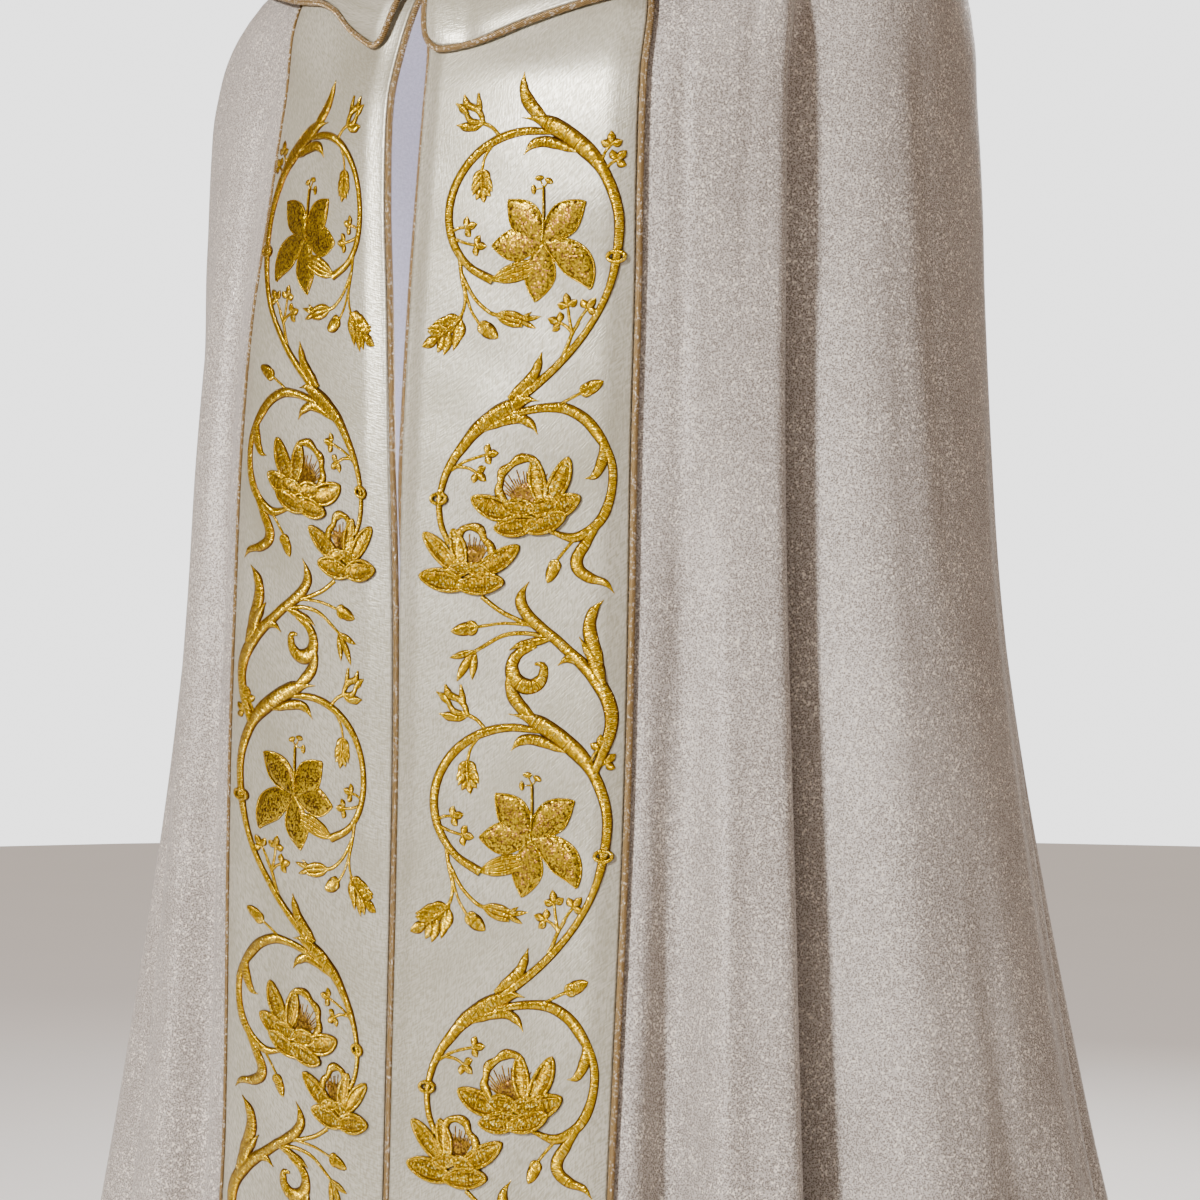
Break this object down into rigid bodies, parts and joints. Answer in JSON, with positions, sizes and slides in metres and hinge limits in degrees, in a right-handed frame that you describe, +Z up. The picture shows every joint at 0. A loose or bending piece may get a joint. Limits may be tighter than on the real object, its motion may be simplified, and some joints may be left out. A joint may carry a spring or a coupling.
{
  "type": "cope vestment",
  "caption": "Worn semicircular liturgical cloak in ivory crepe with embroidered satin front bands, gold piping and a turned-down collar.",
  "frame": {"origin": "centre of the neck on the wearer's shoulder line, where the cloak rests", "axes": "+Z up, the open front faces -Y, the wearer's left is +X"},
  "size_m": [1.0047, 0.6209, 1.4819],
  "materials": {
    "lame_crepe": "ivory polyester crepe with fine metallic thread",
    "duchess_satin": "ivory duchess satin, low gloss",
    "gold_trim": "gold lame bias piping and gold embroidery thread",
    "gilt_brass": "plain gilt hook and eye"
  },
  "bodies": {
    "root": {"cope_left": "lame_crepe", "cope_right": "lame_crepe", "orphrey_left": "duchess_satin", "orphrey_right": "duchess_satin", "front_piping_left": "gold_trim", "front_piping_right": "gold_trim", "outer_piping_left": "gold_trim", "outer_piping_right": "gold_trim", "collar": "duchess_satin", "collar_piping": "gold_trim", "clasp_hook": "gilt_brass", "clasp_eye": "gilt_brass"}
  },
  "joints": []
}
